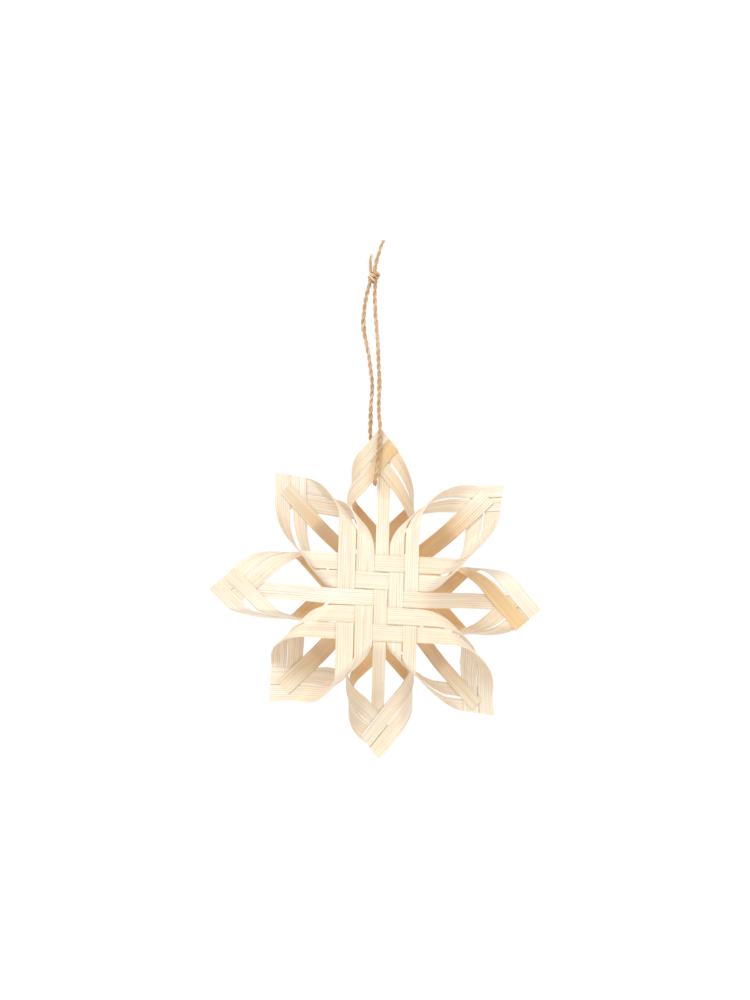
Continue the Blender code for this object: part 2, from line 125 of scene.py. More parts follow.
def smooth_route(spots: list[Vector], spacing: float) -> list[Vector]:
    """Points at even steps on a smooth curve through a route's own points.

    Args:
        spots: The route's own points.
        spacing: Wanted distance between two points of the result.

    Returns:
        The evenly spaced points, both ends among them.
    """
    substeps = 16
    padded = [spots[0] * 2 - spots[1]] + spots + [spots[-1] * 2 - spots[-2]]
    dense = []
    for index in range(1, len(padded) - 2):
        before, start, end, after = padded[index - 1:index + 3]
        for step in range(substeps):
            share = step / substeps
            dense.append(0.5 * (start * 2 + (end - before) * share
                                + (before * 2 - start * 5 + end * 4 - after) * share ** 2
                                + (start * 3 - before - end * 3 + after) * share ** 3))
    dense.append(spots[-1].copy())
    lengths = [0.0]
    for before, after in zip(dense, dense[1:]):
        lengths.append(lengths[-1] + (after - before).length)
    count = max(2, round(lengths[-1] / spacing))
    route = []
    index = 0
    for step in range(count + 1):
        wanted = lengths[-1] * step / count
        while index < len(dense) - 2 and lengths[index + 1] < wanted:
            index += 1
        share = (wanted - lengths[index]) / (lengths[index + 1] - lengths[index])
        route.append(dense[index].lerp(dense[index + 1], min(1.0, share)))
    return route


@dataclass
class MeshDraft:
    """Vertices and faces of one piece while it is made, with where each lies in the grain."""

    spots: list[Vector] = field(default_factory=list)
    faces: list[tuple[int, ...]] = field(default_factory=list)
    grain: list[tuple[float, float, float]] = field(default_factory=list)
    tones_and_painted_shade: list[float] = field(default_factory=list)

    def add(self, spot: Vector, grain: tuple[float, float, float], tone: float) -> None:
        """Add a vertex, its place in the grain and its tone: how tan it is, which on a splint also
        holds painted shade.
        """
        self.spots.append(spot)
        self.grain.append(grain)
        self.tones_and_painted_shade.append(tone)

    def add_tube(self, path: list[Vector], radii: list[float], sides: int, seed: float,
                 tone: float, relief: float = 0.0) -> None:
        """Add a closed tube with fibres in relief.

        Args:
            path: The points that the tube follows.
            radii: Its radius at each point.
            sides: Number of flats round it.
            seed: Picks its own grain.
            tone: How tan it is, from 0 to 1.
            relief: Depth of its fibres as a share of the radius.
        """
        first = len(self.spots)
        run = 0.0
        for number, (spot, (side, up)) in enumerate(zip(path, carried_frames(path))):
            if number:
                run += (spot - path[number - 1]).length
            for flat in range(sides):
                turn = math.tau * flat / sides
                around = side * math.cos(turn) + up * math.sin(turn)
                place = Vector((math.cos(turn) * 1.6, math.sin(turn) * 1.6, run * 900.0 + seed))
                radius = radii[number] * (1.0 + relief * noise.noise(place))
                self.add(spot + around * radius, (run, turn * radii[number], seed), tone)
        for number in range(len(path) - 1):
            for flat in range(sides):
                low = first + number * sides
                after = (flat + 1) % sides
                self.faces.append((low + flat, low + after, low + sides + after,
                                   low + sides + flat))
        last = first + (len(path) - 1) * sides
        self.faces.append(tuple(first + flat for flat in reversed(range(sides))))
        self.faces.append(tuple(last + flat for flat in range(sides)))

    def to_object(self, name: str, material: bpy.types.Material,
                  sharp: float = 50.0) -> bpy.types.Object:
        """Make the piece.

        Args:
            name: Its name.
            material: Its finish.
            sharp: Angle in degrees from which an edge shows as an edge.

        Returns:
            The new object, linked into the scene.
        """
        mesh = bpy.data.meshes.new(name)
        mesh.from_pydata([tuple(spot) for spot in self.spots], [], self.faces)
        grain = mesh.attributes.new(GRAIN, "FLOAT_VECTOR", "POINT")
        grain.data.foreach_set("vector", [value for place in self.grain for value in place])
        tone = mesh.attributes.new(TONE, "FLOAT", "POINT")
        tone.data.foreach_set("value", self.tones_and_painted_shade)
        mesh.materials.append(material)
        mesh.shade_smooth()
        mesh.set_sharp_from_angle(angle=math.radians(sharp))
        piece = bpy.data.objects.new(name, mesh)
        bpy.context.scene.collection.objects.link(piece)
        return piece


@dataclass
class NodeSheet:
    """A material's node tree, with short ways to add to it."""

    name: str
    made: bpy.types.Material = field(init=False)

    def __post_init__(self) -> None:
        """Start the material."""
        self.made = bpy.data.materials.new(self.name)
        self.made.use_nodes = True

    @property
    def shader(self) -> bpy.types.Node:
        """The material's own shader."""
        return self.made.node_tree.nodes["Principled BSDF"]

    def add(self, kind: str, **settings: object) -> bpy.types.Node:
        """Add a node.

        Args:
            kind: Its type, such as ShaderNodeTexNoise.
            settings: Its own options.

        Returns:
            The node.
        """
        node = self.made.node_tree.nodes.new(kind)
        for option, value in settings.items():
            setattr(node, option, value)
        return node

    def link(self, source: bpy.types.NodeSocket, target: bpy.types.NodeSocket) -> None:
        """Join two sockets."""
        self.made.node_tree.links.new(source, target)

    def attribute(self, name: str) -> bpy.types.Node:
        """A node that reads what the mesh holds under a name."""
        return self.add("ShaderNodeAttribute", attribute_name=name)

    def part_of(self, vector: bpy.types.NodeSocket, axis: str) -> bpy.types.NodeSocket:
        """One component of a vector, by its letter."""
        split = self.add("ShaderNodeSeparateXYZ")
        self.link(vector, split.inputs[0])
        return split.outputs[axis]

    def noise(self, grain: bpy.types.NodeSocket, scale: tuple[float, float, float],
              detail: float, roughness: float) -> bpy.types.NodeSocket:
        """A noise stretched along the grain.

        Args:
            grain: Place in the grain, as along, across and seed.
            scale: Waves in a metre along and across, and how far the seed moves it.
            detail: Number of finer layers.
            roughness: How strong those are.

        Returns:
            The noise's value.
        """
        stretch = self.add("ShaderNodeVectorMath", operation="MULTIPLY")
        stretch.inputs[1].default_value = scale
        self.link(grain, stretch.inputs[0])
        waves = self.add("ShaderNodeTexNoise", noise_dimensions="3D")
        waves.inputs["Scale"].default_value = 1.0
        waves.inputs["Detail"].default_value = detail
        waves.inputs["Roughness"].default_value = roughness
        self.link(stretch.outputs[0], waves.inputs["Vector"])
        return waves.outputs["Fac"]

    def ramp(self, value: bpy.types.NodeSocket,
             stops: list[tuple[float, float]]) -> bpy.types.NodeSocket:
        """A value read off a graph.

        Args:
            value: What goes in.
            stops: The graph's corners, as (in, out), at most 32 of them.

        Returns:
            What comes out.
        """
        graph = self.add("ShaderNodeValToRGB")
        elements = graph.color_ramp.elements
        while len(elements) < len(stops):
            elements.new(0.5)
        for element, (place, level) in zip(elements, stops):
            element.position = place
            element.color = (level, level, level, 1.0)
        self.link(value, graph.inputs["Fac"])
        return graph.outputs["Color"]

    def math(self, operation: str, first: bpy.types.NodeSocket,
             second: bpy.types.NodeSocket | float) -> bpy.types.NodeSocket:
        """Arithmetic on one or two values.

        Args:
            operation: Blender's name of it, such as MULTIPLY.
            first: First value.
            second: Second value, a socket or a number.

        Returns:
            The result.
        """
        step = self.add("ShaderNodeMath", operation=operation)
        self.link(first, step.inputs[0])
        if isinstance(second, (int, float)):
            step.inputs[1].default_value = second
        else:
            self.link(second, step.inputs[1])
        return step.outputs[0]

    def mix(self, share: bpy.types.NodeSocket, first: bpy.types.NodeSocket | tuple,
            second: bpy.types.NodeSocket | tuple) -> bpy.types.NodeSocket:
        """A colour between two colours.

        Args:
            share: How much of the second one.
            first: A colour or a socket that has one.
            second: A colour or a socket that has one.

        Returns:
            The mixed colour.
        """
        blend = self.add("ShaderNodeMix", data_type="RGBA", clamp_factor=True)
        self.link(share, blend.inputs["Factor"])
        for socket, colour in ((blend.inputs[6], first), (blend.inputs[7], second)):
            if isinstance(colour, tuple):
                socket.default_value = (*colour, 1.0)
            else:
                self.link(colour, socket)
        return blend.outputs[2]

    def bump(self, height: bpy.types.NodeSocket, strength: float, distance: float) -> None:
        """Give the shader a relief.

        Args:
            height: Height of the relief, from 0 to 1.
            strength: How strongly it shows.
            distance: Its depth in metres.
        """
        relief = self.add("ShaderNodeBump")
        relief.inputs["Strength"].default_value = strength
        relief.inputs["Distance"].default_value = distance
        self.link(height, relief.inputs["Height"])
        self.link(relief.outputs["Normal"], self.shader.inputs["Normal"])


@dataclass(frozen=True)
class SplitWood:
    """Pale split wood: cream with thin tan growth lines and fine fibres, satin, and turned tan by the
    splint's tone, which holds both its own tan and painted shade.
    """

    name: str
    pale: tuple[float, float, float]
    # tan is the wood's own tan and also the colour of the painted shade.
    tan: tuple[float, float, float]
    line: tuple[float, float, float]
    stain: tuple[float, float, float]
    line_share: float = 0.62
    lines_in_metre: float = 980.0
    line_wander: float = 2.4
    glow: float = 0.25
    glow_reach: tuple[float, float, float] = (1.0, 0.55, 0.22)
    glow_depth: float = 0.0009
    fibre_strength: float = 0.35
    fibre_depth: float = 0.00006

    def material(self) -> bpy.types.Material:
        """The finish as a material that reads the splint's grain."""
        sheet = NodeSheet(self.name)
        grain = sheet.attribute(GRAIN).outputs["Vector"]
        tone = sheet.attribute(TONE).outputs["Fac"]
        lines = self.growth_lines(sheet, grain)
        fibres = sheet.noise(grain, (70.0, 5200.0, 3.3), 3.0, 0.65)
        streaks = sheet.noise(grain, (24.0, 1700.0, 17.1), 2.0, 0.6)
        clouds = sheet.noise(grain, (26.0, 90.0, 8.9), 2.0, 0.5)
        stains = sheet.ramp(sheet.noise(grain, (17.0, 260.0, 21.3), 2.0, 0.55),
                            [(0.0, 0.0), (0.60, 0.0), (0.76, 0.45), (1.0, 0.45)])
        spread = sheet.ramp(clouds, [(0.3, 0.0), (0.7, 0.28)])
        # The splint's tone moves the colour from pale to tan: the wood's own tone, and painted shade
        # where a splint lies in shadow.
        colour = sheet.mix(sheet.math("ADD", tone, spread), self.pale, self.tan)
        colour = sheet.mix(stains, colour, self.stain)
        colour = sheet.mix(sheet.math("MULTIPLY", lines, self.line_share), colour, self.line)
        threads = sheet.math("MULTIPLY", sheet.ramp(fibres, [(0.30, 0.90), (0.5, 1.0)]),
                             sheet.ramp(streaks, [(0.30, 0.84), (0.62, 1.0)]))
        shaded = sheet.add("ShaderNodeMix", data_type="RGBA", blend_type="MULTIPLY")
        shaded.inputs["Factor"].default_value = 1.0
        sheet.link(colour, shaded.inputs[6])
        sheet.link(threads, shaded.inputs[7])
        sheet.link(shaded.outputs[2], sheet.shader.inputs["Base Color"])
        sheet.link(sheet.ramp(fibres, [(0.3, 0.62), (0.7, 0.44)]),
                   sheet.shader.inputs["Roughness"])
        height = sheet.math("SUBTRACT", fibres, sheet.math("MULTIPLY", lines, 0.5))
        sheet.bump(height, self.fibre_strength, self.fibre_depth)
        sheet.shader.inputs["Subsurface Weight"].default_value = self.glow
        sheet.shader.inputs["Subsurface Radius"].default_value = self.glow_reach
        sheet.shader.inputs["Subsurface Scale"].default_value = self.glow_depth
        return sheet.made

    def growth_lines(self, sheet: NodeSheet, grain: bpy.types.NodeSocket) -> bpy.types.NodeSocket:
        """The thin darker lines that run along the splint, side by side.

        Args:
            sheet: The material's nodes.
            grain: Place in the grain, as along, across and seed.

        Returns:
            1 on a strong line, and 0 between the lines.
        """
        wander = sheet.noise(grain, (14.0, 130.0, 13.7), 1.0, 0.5)
        across = sheet.math("MULTIPLY", sheet.part_of(grain, "Y"), self.lines_in_metre)
        phase = sheet.math("ADD", across, sheet.math("MULTIPLY", wander, self.line_wander))
        phase = sheet.math("ADD", phase, sheet.math("MULTIPLY", sheet.part_of(grain, "Z"), 0.37))
        wave = sheet.math("SINE", sheet.math("MULTIPLY", phase, math.tau), 0.0)
        raised = sheet.math("MULTIPLY", sheet.math("ADD", wave, 1.0), 0.5)
        lines = sheet.ramp(raised, [(0.0, 0.0), (0.62, 0.0), (0.94, 1.0)])
        strength = sheet.noise(grain, (12.0, 420.0, 5.1), 1.0, 0.5)
        return sheet.math("MULTIPLY", lines, sheet.ramp(strength, [(0.34, 0.12), (0.62, 1.0)]))


@dataclass(frozen=True)
class Jute:
    """Jute yarn: matt tan fibres with lighter and darker ones among them."""

    name: str
    dark: tuple[float, float, float] = (0.36, 0.205, 0.095)
    middle: tuple[float, float, float] = (0.60, 0.385, 0.205)
    light: tuple[float, float, float] = (0.80, 0.60, 0.38)
    roughness: float = 0.85
    fibre_strength: float = 0.7
    fibre_depth: float = 0.00012

    def material(self) -> bpy.types.Material:
        """The finish as a material that reads the yarn's lay."""
        sheet = NodeSheet(self.name)
        grain = sheet.attribute(GRAIN).outputs["Vector"]
        fibres = sheet.noise(grain, (260.0, 5200.0, 7.7), 3.0, 0.6)
        patches = sheet.noise(grain, (120.0, 600.0, 4.1), 2.0, 0.5)
        colour = sheet.mix(sheet.ramp(fibres, [(0.36, 0.0), (0.6, 1.0)]), self.dark,
                           self.middle)
        colour = sheet.mix(sheet.ramp(patches, [(0.45, 0.0), (0.72, 0.8)]), colour, self.light)
        tone = sheet.attribute(TONE).outputs["Fac"]
        colour = sheet.mix(tone, colour, self.light)
        sheet.link(colour, sheet.shader.inputs["Base Color"])
        sheet.shader.inputs["Roughness"].default_value = self.roughness
        sheet.shader.inputs["Specular IOR Level"].default_value = 0.25
        sheet.bump(fibres, self.fibre_strength, self.fibre_depth)
        return sheet.made


@dataclass(frozen=True)
class StageWhite:
    """Plain white floor."""

    name: str
    colour: tuple[float, float, float] = (0.94, 0.94, 0.94)

    def material(self) -> bpy.types.Material:
        """The finish as a material with a faint mottling."""
        sheet = NodeSheet(self.name)
        place = sheet.add("ShaderNodeTexCoord").outputs["Object"]
        mottle = sheet.noise(place, (9.0, 9.0, 9.0), 2.0, 0.5)
        dimmed = tuple(value * 0.985 for value in self.colour)
        sheet.link(sheet.mix(mottle, self.colour, dimmed), sheet.shader.inputs["Base Color"])
        sheet.shader.inputs["Roughness"].default_value = 0.9
        return sheet.made


@dataclass(frozen=True)
class Roll:
    """How the two splints on one side of a petal curl, in millimetres.

    bulge is how far the inner splint stands out from the petal's axis, and taper how much less
    the outer one does. Each splint then lies nearer the tip by its own lead, first where it
    stands out most and then where it lands. The landing is the share of the way back over which
    it already lies flat.
    """

    bulge: float
    taper: float
    inner_lead: tuple[float, float]
    outer_lead: tuple[float, float]
    landing: float = 0.55


@dataclass(frozen=True)
class Petal:
    """One petal: its direction and length, its two sides, and its point's angle."""

    angle: float
    radius: float
    left: Roll
    right: Roll
    point_angle: float


@dataclass(frozen=True)
class Stock:
    """The splints as they are bought and how closely they are laid."""

    thickness: float = 0.35 * MM
    side_gap: float = 0.5 * MM
    layer_pitch: float = 0.44 * MM
    swing: float = 0.30 * MM
    ramp: float = 1.3 * MM
    clearance: float = 0.3 * MM
    level_fade: float = 4.5 * MM
    end_short: float = 8.6 * MM
    level_margin: float = 1.0 * MM


STOCK = Stock()


@dataclass
class WovenUnit:
    """One woven square of ten splints with its four petals."""

    name: str
    side: int
    turns: dict[Lie, float]
    widths: dict[Lie, list[float]]
    petals: dict[str, Petal]
    finish: SplitWood
    gaps: dict[Lie, tuple[float, float]]
    lay_shift: float = 0.0
    weave_depth: float = 26.0 * MM
    places: dict[Lie, list[float]] = field(init=False)

    def __post_init__(self) -> None:
        """Lay the splints side by side from the middle one."""
        self.places = {}
        for lie, widths in self.widths.items():
            middle = len(widths) // 2
            places = [0.0] * len(widths)
            for index in range(middle + 1, len(widths)):
                places[index] = (places[index - 1] + self.gaps[lie][1]
                                 + (widths[index - 1] + widths[index]) / 2)
            for index in range(middle - 1, -1, -1):
                places[index] = (places[index + 1] - self.gaps[lie][0]
                                 - (widths[index + 1] + widths[index]) / 2)
            if lie is Lie.CROSSWISE:
                places = [-place for place in places]
            self.places[lie] = [place + self.lay_shift for place in places]

    @property
    def depth(self) -> float:
        """Depth of the weave's middle plane."""
        return self.side * self.weave_depth

    def flat_point(self, lie: Lie, along: float, across: float) -> Vector:
        """Point of the weave's plane.

        Args:
            lie: The way of the splint.
            along: Distance along it from the weave's centre.
            across: Distance across it from the weave's centre.

        Returns:
            The point as (right, up) from the star's centre.
        """
        right = direction(self.turns[Lie.CROSSWISE])
        up = direction(self.turns[Lie.UPRIGHT])
        if lie is Lie.UPRIGHT:
            return right * across + up * along
        return right * along + up * across

    def reach(self, lie: Lie, sign: int) -> float:
        """Distance from the centre to the weave's edge where splints leave it."""
        crossing = zip(self.places[lie.crossing], self.widths[lie.crossing])
        return max(sign * place + width / 2 for place, width in crossing)

    def crossings(self, lie: Lie, index: int) -> list[tuple[float, float, float]]:
        """Crossings along a splint.

        Args:
            lie: The way of the splint.
            index: Its number, from 0.

        Returns:
            Rows of (place, width, depth), from the splint's start to its end.
        """
        rows = []
        for number, place in enumerate(self.places[lie.crossing]):
            upright_over = (index + number) % 4 in (0, 1)
            over = upright_over if lie is Lie.UPRIGHT else not upright_over
            depth = self.depth - STOCK.swing if over else self.depth + STOCK.swing
            rows.append((place, self.widths[lie.crossing][number], depth))
        return sorted(rows)

    def pair_width(self, lie: Lie, across_sign: int) -> float:
        """Width of the two outermost splints on one side where they lie close together."""
        outer = self.widths[lie][-2:] if (lie is Lie.UPRIGHT) == (across_sign > 0) \
            else self.widths[lie][:2]
        return sum(outer) + STOCK.side_gap

    def pair_edges(self, lie: Lie, across_sign: int) -> tuple[float, float]:
        """Inner and outer edge of the two outermost splints on one side."""
        pairs = sorted((across_sign * place, width) for place, width
                       in zip(self.places[lie], self.widths[lie]))[-2:]
        return pairs[0][0] - pairs[0][1] / 2, pairs[1][0] + pairs[1][1] / 2


@dataclass
class Curl:
    """The rolled stretch of one outer splint on one side of a petal.

    The inner splint of a pair is in lane 0 and the outer one in lane 1.
    """

    unit: WovenUnit
    lie: Lie
    sign: int
    across_sign: int
    lane: int
    belly_share: float = 0.42
    belly_power: float = 1.3
    outgoing: tuple[float, float] = (0.6, 0.55)
    returning_depth: float = 0.5
    flat_margin: float = 0.2 * MM
    loose_flat_share: float = 0.7
    rear_tight_flat_share: float = 0.85
    hidden_end_short: float = 2.0 * MM
    samples: int = 60

    def __post_init__(self) -> None:
        """Work out where the curl starts and how it lands on the tip."""
        turn = self.sign * self.across_sign
        left = turn > 0 if self.lie is Lie.UPRIGHT else turn < 0
        petal = self.unit.petals[self.petal_name]
        self.axis = direction(petal.angle)
        self.outward = direction(petal.angle + 90.0) * (1.0 if left else -1.0)
        self.radius = petal.radius
        self.slope = math.tan(math.radians(petal.point_angle / 2))
        heading = self.unit.flat_point(self.lie, float(self.sign), 0.0)
        self.narrowing = self.slope * heading.dot(self.axis) / heading.dot(self.outward)
        inner_edge, outer_edge = self.unit.pair_edges(self.lie, self.across_sign)
        other_width = self.unit.pair_width(self.lie.crossing, self.sign)
        reach = self.unit.reach(self.lie, self.sign) + STOCK.clearance
        corner = self.unit.flat_point(self.lie, self.sign * reach, self.across_sign * inner_edge)
        self.start = corner.dot(self.outward)
        flat_half = self.slope * other_width / math.sqrt(2) + self.flat_margin
        behind = self.unit.side > 0
        tight_share = self.rear_tight_flat_share if behind else 1.0
        self.flat_half = flat_half * (tight_share if left == behind else self.loose_flat_share)
        self.cut_short = self.hidden_end_short if behind and not left else 0.0
        tip_depth = 0.0 if left else STOCK.layer_pitch
        roll = petal.left if left else petal.right
        bulge = (roll.bulge - roll.taper * self.lane) * MM
        self.profile = self.make_profile(bulge, tip_depth, roll.landing)
        self.profile_lengths = [row[0] for row in self.profile]
        self.span = self.profile_lengths[-1]
        self.axis_length = self.span + self.flat_half / self.narrowing
        outer = self.across_sign * outer_edge
        tip = self.unit.flat_point(self.lie, self.along_at(self.axis_length, outer), outer)
        self.shift = self.radius - tip.dot(self.axis)
        lead = roll.outer_lead if self.lane else roll.inner_lead
        rise = abs(heading.dot(self.axis) / heading.dot(self.outward))
        aside = self.unit.flat_point(self.lie, 0.0, float(self.across_sign))
        per_across = aside.dot(self.axis) - aside.dot(self.outward) * rise
        opened = outer_edge - inner_edge - self.unit.pair_width(self.lie, self.across_sign)
        self.belly_lead = lead[0] * MM
        self.tip_lead = lead[1] * MM + per_across * opened * (1 - self.lane)

    @property
    def petal_name(self) -> str:
        """Name of the petal that the curl belongs to."""
        up, right = ((self.sign, self.across_sign) if self.lie is Lie.UPRIGHT
                     else (self.across_sign, self.sign))
        return f"{'upper' if up > 0 else 'lower'}_{'right' if right > 0 else 'left'}"

    def make_profile(self, bulge: float, tip_depth: float,
                     landing: float) -> list[tuple[float, float, float]]:
        """Cross-section of the curl.

        Args:
            bulge: How far it stands out from the petal's axis.
            tip_depth: Depth at which it lands on the tip.
            landing: Share of the way back over which it already lies flat.

        Returns:
            Rows of (length along it, distance from the axis, depth).
        """
        weave = self.unit.depth
        belly = Vector((bulge, weave + (tip_depth - weave) * self.belly_share))
        begin = Vector((self.start, weave))
        land = Vector((self.flat_half, tip_depth))
        out_across, out_depth = self.outgoing
        quarters = (
            (begin, begin + Vector(((belly.x - begin.x) * out_across, 0.0)),
             belly - Vector((0.0, (belly.y - begin.y) * out_depth)), belly),
            (belly, belly + Vector((0.0, (land.y - belly.y) * self.returning_depth)),
             land - Vector(((land.x - belly.x) * landing, 0.0)), land),
        )
        rows = [(self.start, self.start, weave)]
        for quarter in quarters:
            for sample in range(1, self.samples + 1):
                point = bezier(quarter, sample / self.samples)
                last = Vector((rows[-1][1], rows[-1][2]))
                rows.append((rows[-1][0] + (point - last).length, point.x, point.y))
        return rows

    def along_at(self, length: float, across: float) -> float:
        """Distance along a splint at which a line across it has run a length of the curl."""
        base = self.unit.flat_point(self.lie, 0.0, across).dot(self.outward)
        return (length - base) / self.unit.flat_point(self.lie, 1.0, 0.0).dot(self.outward)

    def end_at(self, across: float) -> float:
        """Distance along a splint at which it is trimmed flush with the crossing pair."""
        base = self.unit.flat_point(self.lie, 0.0, across)
        step = self.unit.flat_point(self.lie, 1.0, 0.0)
        constant = (self.narrowing * (self.axis_length - base.dot(self.outward))
                    + self.slope * (self.radius - self.shift - self.tip_lead - self.cut_short
                                    - base.dot(self.axis)))
        rate = self.narrowing * step.dot(self.outward) + self.slope * step.dot(self.axis)
        return constant / rate

    def place(self, along: float, across: float, exit_depth: float) -> Vector:
        """Point of the curled surface.

        Args:
            along: Distance along the splint from the weave's centre.
            across: Distance across it from the weave's centre.
            exit_depth: Depth at which the splint leaves the weave.

        Returns:
            The point as (right, depth, up) from the star's centre.
        """
        flat = self.unit.flat_point(self.lie, along, across)
        length = flat.dot(self.outward)
        if length <= self.start:
            return Vector((flat.x, exit_depth, flat.y))
        fade = min(1.0, (length - self.start) / STOCK.level_fade)
        raised = (exit_depth - self.unit.depth) * (1.0 - eased(fade))
        share = min(1.0, (length - self.start) / (self.span - self.start))
        forward = (flat.dot(self.axis) + (self.shift + self.tip_lead) * eased(share)
                   + self.belly_lead * (4.0 * share * (1.0 - share)) ** self.belly_power)
        if length >= self.span:
            beside = self.flat_half - (length - self.span) * self.narrowing
            depth = self.profile[-1][2]
        else:
            number = max(1, bisect_left(self.profile_lengths, length))
            before, after = self.profile[number - 1], self.profile[number]
            part = (length - before[0]) / (after[0] - before[0])
            beside = before[1] + (after[1] - before[1]) * part
            depth = before[2] + (after[2] - before[2]) * part
        spot = self.axis * forward + self.outward * beside
        return Vector((spot.x, depth + raised, spot.y))


@dataclass
class Splint:
    """One splint from cut end to cut end, as a ribbon with rounded edges and a grain."""

    unit: WovenUnit
    far: WovenUnit
    lie: Lie
    index: int
    centre: Vector
    # Tone stops along the splint: its own tan and painted shade.
    tones_and_painted_shade: tuple[float, ...]
    step: float = 0.85 * MM
    weave_step_share: float = 0.6
    fibres_in_metre: tuple[float, float] = (40.0, 2600.0)
    cells: int = 22
    edge_insets: tuple[float, ...] = (0.0, 0.06 * MM, 0.18 * MM)
    edge_thickness: tuple[float, ...] = (0.5, 0.86, 1.0)
    relief: float = 0.022 * MM

    def __post_init__(self) -> None:
        """Find the splint's place among its unit's."""
        self.place = self.unit.places[self.lie][self.index]
        self.width = self.unit.widths[self.lie][self.index]
        self.seed = (self.index + 1.0) + 6.0 * (self.lie is Lie.UPRIGHT) + 13.0 * (self.unit.side > 0)

    @property
    def node(self) -> str:
        """Name of the splint's node in the frame."""
        return f"{self.unit.name}_{self.lie.value}_splint_{self.index + 1}"

    def marks(self) -> tuple[list[float], list[float]]:
        """Places across the splint and how thick it is there.

        Returns:
            Distances from the weave's centre, and shares of the full thickness.
        """
        half = self.width / 2
        inner = half - self.edge_insets[-1]
        middle = [-inner + 2 * inner * cell / self.cells for cell in range(1, self.cells)]
        places = ([-half + inset for inset in self.edge_insets] + middle
                  + [half - inset for inset in reversed(self.edge_insets)])
        shares = (list(self.edge_thickness) + [1.0] * len(middle)
                  + list(reversed(self.edge_thickness)))
        return [self.place + place for place in places], shares

    def woven_depth(self, along: float) -> float:
        """Depth of the splint inside the weave.

        Args:
            along: Distance along it from the weave's centre.

        Returns:
            Its depth there.
        """
        rows = self.unit.crossings(self.lie, self.index)
        for (place, width, depth), (next_place, next_width, next_depth) in zip(rows, rows[1:]):
            begin = place + width / 2 - STOCK.ramp
            end = next_place - next_width / 2 + STOCK.ramp
            if along < begin:
                return depth
            if along < end:
                return depth + (next_depth - depth) * eased((along - begin) / (end - begin))
        return rows[-1][2]

    def flat_row(self, alongs: list[float], places: list[float], depth: float) -> Row:
        """A line across the splint in the weave's plane."""
        row = []
        for along, across in zip(alongs, places):
            flat = self.unit.flat_point(self.lie, along, across)
            row.append((Vector((flat.x, depth, flat.y)), along))
        return row

    def curl_end(self, sign: int, places: list[float], exit_depth: float) -> list[Row]:
        """Lines across a curled end, from the weave to the cut.

        Args:
            sign: Which end, -1 or 1.
            places: Places across the splint.
            exit_depth: Depth at which it leaves the weave.

        Returns:
            The lines.
        """
        lane = abs(self.index - len(self.unit.widths[self.lie]) // 2) - 1
        across_sign = 1 if self.place > self.unit.lay_shift else -1
        curl = Curl(self.unit, self.lie, sign, across_sign, lane)
        edge = sign * self.unit.reach(self.lie, sign)
        starts = [curl.along_at(curl.start, across) for across in places]
        spans = [curl.along_at(curl.span, across) for across in places]
        ends = [curl.end_at(across) for across in places]
        rows = []
        for begins, finishes in (([edge] * len(places), starts), (starts, spans), (spans, ends)):
            longest = max(abs(finish - begin) for begin, finish in zip(begins, finishes))
            count = max(2, math.ceil(longest / self.step))
            for number in range(1, count + 1):
                share = number / count
                row = []
                for begin, finish, across in zip(begins, finishes, places):
                    along = begin + (finish - begin) * share
                    row.append((curl.place(along, across, exit_depth), along))
                rows.append(row)
        return rows

    def straight_end(self, sign: int, places: list[float], exit_depth: float) -> list[Row]:
        """Lines across a straight end that lies on the other unit's petal.

        Args:
            sign: Which end, -1 or 1.
            places: Places across the splint.
            exit_depth: Depth at which it leaves the weave.

        Returns:
            The lines.
        """
        heading = self.unit.flat_point(self.lie, float(sign), 0.0)
        petal = max(self.far.petals.values(), key=lambda one: direction(one.angle).dot(heading))
        tip_depth = STOCK.layer_pitch * (2 if self.unit.side < 0 else -1)
        edge = self.unit.reach(self.lie, sign)
        start = edge + STOCK.clearance
        widest = max(self.far.widths[Lie.UPRIGHT] + self.far.widths[Lie.CROSSWISE])
        meeting = petal.radius - math.sqrt(2) * (2 * widest + STOCK.side_gap)
        end = petal.radius - STOCK.end_short
        aside = abs(self.unit.flat_point(self.lie, sign * end, 0.0).dot(direction(petal.angle + 90)))
        slope = math.tan(math.radians(petal.point_angle / 2))
        level = meeting - (self.width / 2 + aside) / slope - STOCK.level_margin
        rows = []
        count = math.ceil((end - edge) / self.step)
        for number in range(1, count + 1):
            along = edge + (end - edge) * number / count
            share = min(1.0, max(0.0, (along - start) / (level - start)))
            depth = exit_depth + (tip_depth - exit_depth) * eased(share)
            moved = [across - self.unit.lay_shift * eased(share) for across in places]
            rows.append(self.flat_row([sign * along] * len(places), moved, depth))
        return rows

    def rows(self, places: list[float]) -> list[Row]:
        """All lines across the splint, from its start to its end.

        Args:
            places: Places across the splint.

        Returns:
            The lines.
        """
        crossings = self.unit.crossings(self.lie, self.index)
        middle = self.index == len(self.unit.widths[self.lie]) // 2
        end_of = self.straight_end if middle else self.curl_end
        before = end_of(-1, places, crossings[0][2])
        after = end_of(1, places, crossings[-1][2])
        low = -self.unit.reach(self.lie, -1)
        high = self.unit.reach(self.lie, 1)
        count = math.ceil((high - low) / (self.step * self.weave_step_share))
        inner = []
        for number in range(count + 1):
            along = low + (high - low) * number / count
            inner.append(self.flat_row([along] * len(places), places, self.woven_depth(along)))
        return before[::-1] + inner + after

    def tone_at(self, share: float) -> float:
        """How tan the splint is at a share of its length, from its own tan and painted shade
        together.
        """
        run = min(1.0, max(0.0, share)) * (len(self.tones_and_painted_shade) - 1)
        stop = min(int(run), len(self.tones_and_painted_shade) - 2)
        return self.tones_and_painted_shade[stop] + (self.tones_and_painted_shade[stop + 1] - self.tones_and_painted_shade[stop]) * eased(run - stop)

